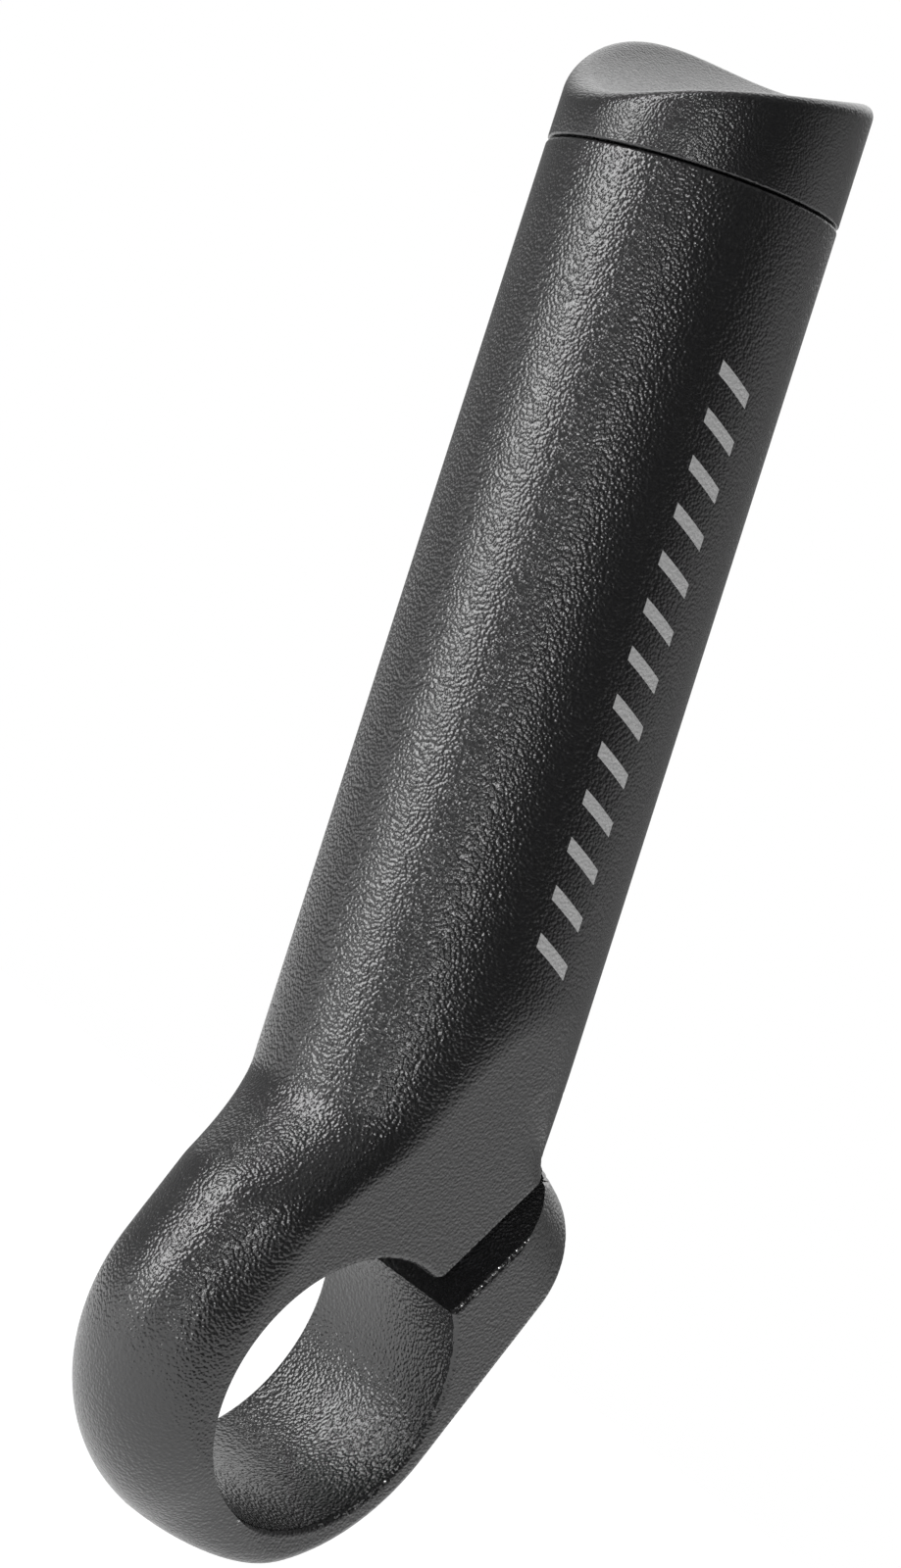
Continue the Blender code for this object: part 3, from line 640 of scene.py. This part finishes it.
def grain_group():
    """Make the shared grain: a close field of rounded pebbles with finer grit between them."""
    group, given, result = new_group("pebble_grain", [("Size", "Float"), ("Depth", "Float")],
                                     [("Normal", "Vector"), ("Height", "Float")])
    place = new_node(group, "ShaderNodeTexCoord").outputs["Object"]
    scale = math_node(group, 'DIVIDE', 1.0, given.outputs["Size"])
    pebbles = new_node(group, "ShaderNodeTexVoronoi", {"Vector": place, "Scale": scale, "Smoothness": 0.6},
                       feature='SMOOTH_F1').outputs["Distance"]
    grit = new_node(group, "ShaderNodeTexNoise", {"Vector": place, "Scale": scale, "Detail": 1.0})
    height = math_node(group, 'SUBTRACT', math_node(group, 'MULTIPLY', grit.outputs["Fac"], 0.4), pebbles)
    bump = new_node(group, "ShaderNodeBump", {"Strength": 1.0, "Distance": given.outputs["Depth"],
                                              "Height": height})
    group.links.new(bump.outputs["Normal"], result.inputs["Normal"])
    group.links.new(height, result.inputs["Height"])
    return group


def rub_group():
    """Make the shared wear: specks of a mask that is 1 where a distance from an edge is small."""
    group, given, result = new_group("edge_rub", [("Distance", "Float"), ("Width", "Float"),
                                                  ("Amount", "Float")], [("Mask", "Float")])
    place = new_node(group, "ShaderNodeTexCoord").outputs["Object"]
    share = math_node(group, 'DIVIDE', given.outputs["Distance"], given.outputs["Width"])
    near = math_node(group, 'SUBTRACT', 1.0, share)
    specks = new_node(group, "ShaderNodeTexNoise", {"Vector": place, "Scale": SPECK_SCALE, "Detail": 2.0})
    over = math_node(group, 'ADD', specks.outputs["Fac"], given.outputs["Amount"])
    over = math_node(group, 'SUBTRACT', over, 1.0)
    over = math_node(group, 'ADD', over, math_node(group, 'MULTIPLY', near, RUB_FADE))
    mask = new_node(group, "ShaderNodeMapRange", {"Value": over, "From Min": 0.0, "From Max": RUB_EDGE})
    gate = math_node(group, 'GREATER_THAN', near, 0.0)
    group.links.new(math_node(group, 'MULTIPLY', mask.outputs["Result"], gate), result.inputs["Mask"])
    return group


def print_group():
    """Make the arm's generic print: one row of plain slanted bars along the arm.

    Each point gets its run along the arm's axis and its run round it. A bar's share of its pitch, the
    row's ends and its width are each a step, and the mask is their product.
    """
    group, _, result = new_group("bar_print", [], [("Mask", "Float")])
    place = new_node(group, "ShaderNodeTexCoord").outputs["Object"]
    from_bend = new_node(group, "ShaderNodeVectorMath", {0: place, 1: Vector(BEND_POINT)},
                         operation='SUBTRACT').outputs[0]
    along = run_along(group, from_bend, ARM_AXIS)
    middle = np.cos(PRINT_ANGLE) * ARM_SQUARE + np.sin(PRINT_ANGLE) * ASIDE
    beside = -np.sin(PRINT_ANGLE) * ARM_SQUARE + np.cos(PRINT_ANGLE) * ASIDE
    angle = math_node(group, 'ARCTAN2', run_along(group, from_bend, beside),
                      run_along(group, from_bend, middle))
    around = math_node(group, 'MULTIPLY', angle, ARM_RADIUS)
    slanted = math_node(group, 'ADD', math_node(group, 'MULTIPLY', around, math.tan(PRINT_SLANT)), along)
    start = math_node(group, 'SUBTRACT', slanted, PRINT_START)
    share = math_node(group, 'FRACT', math_node(group, 'DIVIDE', start, PRINT_PITCH))
    in_bar = math_node(group, 'LESS_THAN', share, PRINT_BAR / PRINT_PITCH)
    in_width = math_node(group, 'LESS_THAN', math_node(group, 'ABSOLUTE', around), PRINT_WIDTH / 2)
    past_start = math_node(group, 'GREATER_THAN', start, 0.0)
    before_end = math_node(group, 'LESS_THAN', start, PRINT_PITCH * PRINT_BARS)
    row = math_node(group, 'MULTIPLY', past_start, before_end)
    mask = math_node(group, 'MULTIPLY', math_node(group, 'MULTIPLY', in_bar, in_width), row)
    group.links.new(mask, result.inputs["Mask"])
    return group


def new_material(name, colour, roughness=0.3, metallic=0.0):
    """Make a material on the standard shader, and give it with its tree and its shader."""
    material = bpy.data.materials.new(name)
    material.use_nodes = True
    shader = material.node_tree.nodes["Principled BSDF"]
    shader.inputs["Base Color"].default_value = (*colour, 1.0)
    shader.inputs["Roughness"].default_value = roughness
    shader.inputs["Metallic"].default_value = metallic
    return material, material.node_tree, shader


def blend_colour(tree, mask, one, other):
    """Mix two colours, or a colour's socket and a colour, by a mask."""
    mix = tree.nodes.new("ShaderNodeMix")
    mix.data_type = 'RGBA'
    tree.links.new(mask, mix.inputs[0])
    for socket, value in ((mix.inputs[6], one), (mix.inputs[7], other)):
        if isinstance(value, bpy.types.NodeSocket):
            tree.links.new(value, socket)
        else:
            socket.default_value = (*value, 1.0)
    return mix.outputs[2]


def add_finish(tree, shader, grain, size_and_depth, cloud, gloss):
    """Give a shader the shared grain, and a roughness that clouds over between two values."""
    grit = group_node(tree, grain, zip(("Size", "Depth"), size_and_depth))
    tree.links.new(grit.outputs["Normal"], shader.inputs["Normal"])
    place = new_node(tree, "ShaderNodeTexCoord").outputs["Object"]
    noise = new_node(tree, "ShaderNodeTexNoise", {"Vector": place, "Scale": cloud[0], "Detail": cloud[1]})
    rough = new_node(tree, "ShaderNodeMapRange", {"Value": noise.outputs["Fac"], "To Min": gloss[0],
                                                  "To Max": gloss[1]})
    tree.links.new(rough.outputs["Result"], shader.inputs["Roughness"])
    return place


def blasted_black(grain, rub, row):
    """The forging's finish: anodised black over a close blasted grain, rubbed bright on two edges.

    One edge is the bore's outer lip, by how far the radius about the bore is from the lip's, and worn on
    one side alone. The other is the jaw's lip on the slot, by the distance from the slot's face, up to the
    jaw's top. Both fade out from the flat face.
    """
    material, tree, shader = new_material("blasted_black", BLACK)
    shader.inputs["IOR"].default_value = FORGED_INDEX
    place = add_finish(tree, shader, grain, FORGED_GRAIN, FORGED_CLOUD, FORGED_GLOSS)
    x, y, z = new_node(tree, "ShaderNodeSeparateXYZ", {0: place}).outputs[:3]
    squares = math_node(tree, 'ADD', math_node(tree, 'POWER', y, 2.0), math_node(tree, 'POWER', z, 2.0))
    radius = math_node(tree, 'SQRT', squares)
    off_lip = math_node(tree, 'ABSOLUTE', math_node(tree, 'SUBTRACT', radius, BORE_RADIUS + 0.3 * BORE_LIP))
    off_face = math_node(tree, 'ABSOLUTE', math_node(tree, 'SUBTRACT', x, HALF_WIDTH - 0.3 * BORE_LIP))
    off_worn = math_node(tree, 'SUBTRACT', BORE_RADIUS, run_along(tree, place, WORN_SIDE))
    off_worn = math_node(tree, 'MULTIPLY', off_worn, WORN_FADE)
    ring = math_node(tree, 'ADD', math_node(tree, 'ADD', off_lip, off_face), off_worn)
    off_jaw = math_node(tree, 'SUBTRACT', run_along(tree, place, BOLT_AXIS), JAW_FACE - 0.3 * SLOT_LIP)
    off_jaw = math_node(tree, 'ABSOLUTE', off_jaw)
    above = math_node(tree, 'MAXIMUM', math_node(tree, 'SUBTRACT', z, BOLT_HEIGHT + HALF_WIDTH), 0.0)
    jaw = math_node(tree, 'ADD', math_node(tree, 'ADD', off_jaw, off_face), above)
    rubbed = group_node(tree, rub, {"Distance": math_node(tree, 'MINIMUM', ring, jaw), "Width": RUB_WIDTH,
                                    "Amount": RUB_AMOUNT}).outputs["Mask"]
    printed = group_node(tree, row).outputs["Mask"]
    colour = blend_colour(tree, printed, BLACK, PRINT_GREY)
    colour = blend_colour(tree, rubbed, colour, RUBBED_METAL)
    tree.links.new(colour, shader.inputs["Base Color"])
    tree.links.new(rubbed, shader.inputs["Metallic"])
    return material


def moulded_black(grain):
    """The plug's finish: black plastic with a fine moulded grain."""
    material, tree, shader = new_material("moulded_black", BLACK)
    shader.inputs["IOR"].default_value = MOULDED_INDEX
    add_finish(tree, shader, grain, MOULDED_GRAIN, MOULDED_CLOUD, MOULDED_GLOSS)
    return material


def plated_steel(grain):
    """The bolt's and the washer's finish: plating with fine drawn grit, cloudy in its gloss."""
    material, tree, shader = new_material("plated_steel", STEEL, metallic=1.0)
    add_finish(tree, shader, grain, STEEL_GRAIN, STEEL_CLOUD, STEEL_GLOSS)
    return material


def dress_node(name, material):
    """Give a piece of the model a better material."""
    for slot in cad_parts[name].material_slots:
        slot.material = material


def make_camera():
    """The camera, at the photograph's angle."""
    data = bpy.data.cameras.new("camera")
    data.lens = CAMERA_LENS
    data.clip_start = 0.05
    camera = bpy.data.objects.new("camera", data)
    bpy.context.scene.collection.objects.link(camera)
    look = (CAMERA_TARGET - CAMERA_PLACE).to_track_quat('-Z', 'Y').to_matrix().to_4x4()
    camera.matrix_world = Matrix.Translation(CAMERA_PLACE) @ look @ Matrix.Rotation(CAMERA_ROLL, 4, 'Z')
    bpy.context.scene.camera = camera


def make_strip_light(name, centre, direction, distance, width, length, power):
    """An area light that faces a point from a direction, its long side along the arm."""
    data = bpy.data.lights.new(name, 'AREA')
    data.shape = 'RECTANGLE'
    data.size = width
    data.size_y = length
    data.energy = power
    light = bpy.data.objects.new(name, data)
    bpy.context.scene.collection.objects.link(light)
    back = Vector(direction).normalized()
    side = Vector(ARM_AXIS).cross(back).normalized()
    turn = Matrix((side, back.cross(side), back)).transposed().to_4x4()
    light.matrix_world = Matrix.Translation(Vector(centre) + back * distance) @ turn
    light.visible_camera = False


def make_room():
    """A dim room with one dark lobe and two bright ones, which the camera sees as white.

    Each lobe is a smooth step of the cosine of the angle from its direction.
    """
    world = bpy.data.worlds.new("room")
    bpy.context.scene.world = world
    world.use_nodes = True
    tree = world.node_tree
    tree.nodes.clear()
    place = new_node(tree, "ShaderNodeTexCoord").outputs["Generated"]
    level = ROOM_LEVEL
    for direction, edge, core, change in ROOM_LOBES:
        facing = run_along(tree, place, Vector(direction).normalized())
        lobe = new_node(tree, "ShaderNodeMapRange", {"Value": facing, "From Min": math.cos(edge),
                                                     "From Max": math.cos(core), "To Max": change},
                        interpolation_type='SMOOTHSTEP')
        level = math_node(tree, 'ADD', level, lobe.outputs["Result"])
    room = new_node(tree, "ShaderNodeBackground", {"Color": (1, 1, 1, 1), "Strength": level})
    white = new_node(tree, "ShaderNodeBackground", {"Color": (1, 1, 1, 1), "Strength": 1.0})
    seen = new_node(tree, "ShaderNodeLightPath")
    mix = new_node(tree, "ShaderNodeMixShader", {0: seen.outputs["Is Camera Ray"], 1: room.outputs[0],
                                                 2: white.outputs[0]})
    new_node(tree, "ShaderNodeOutputWorld", {"Surface": mix.outputs[0]})


def make_floor():
    """A plain white table well under the bar end, which hangs over it as a hand or a stand would hold it."""
    material, _, shader = new_material("white_table", TABLE_WHITE, roughness=0.9)
    shader.inputs["Emission Color"].default_value = (1.0, 1.0, 1.0, 1.0)
    shader.inputs["Emission Strength"].default_value = FLOOR_LIFT
    corners = FLOOR_SIZE / 2 * np.array([(-1, -1, 0), (1, -1, 0), (1, 1, 0), (-1, 1, 0)])
    mesh = new_mesh("table", corners - np.array([0, 0, FLOOR_DROP]), np.array([[0, 1, 2, 3]]))
    mesh.materials.append(material)
    add_piece("table", mesh)


def main():
    """Dress the model and light it."""
    bpy.context.scene.view_settings.view_transform = 'Standard'
    grain, rub, row = grain_group(), rub_group(), print_group()
    make_forging(blasted_black(grain, rub, row))
    make_plug(moulded_black(grain))
    steel = plated_steel(grain)
    make_screw(steel)
    dress_node("washer", steel)
    make_camera()
    make_room()
    make_floor()
    make_strip_light("key_strip", BEND_POINT + STRIP_RISE * ARM_AXIS, STRIP_SIDE, STRIP_DISTANCE, STRIP_WIDTH,
                     STRIP_LENGTH, STRIP_POWER)
    make_strip_light("spark_lamp", BEND_POINT + SPARK_RISE * ARM_AXIS, SPARK_SIDE, SPARK_DISTANCE, SPARK_SIZE,
                     SPARK_SIZE, SPARK_POWER)


main()
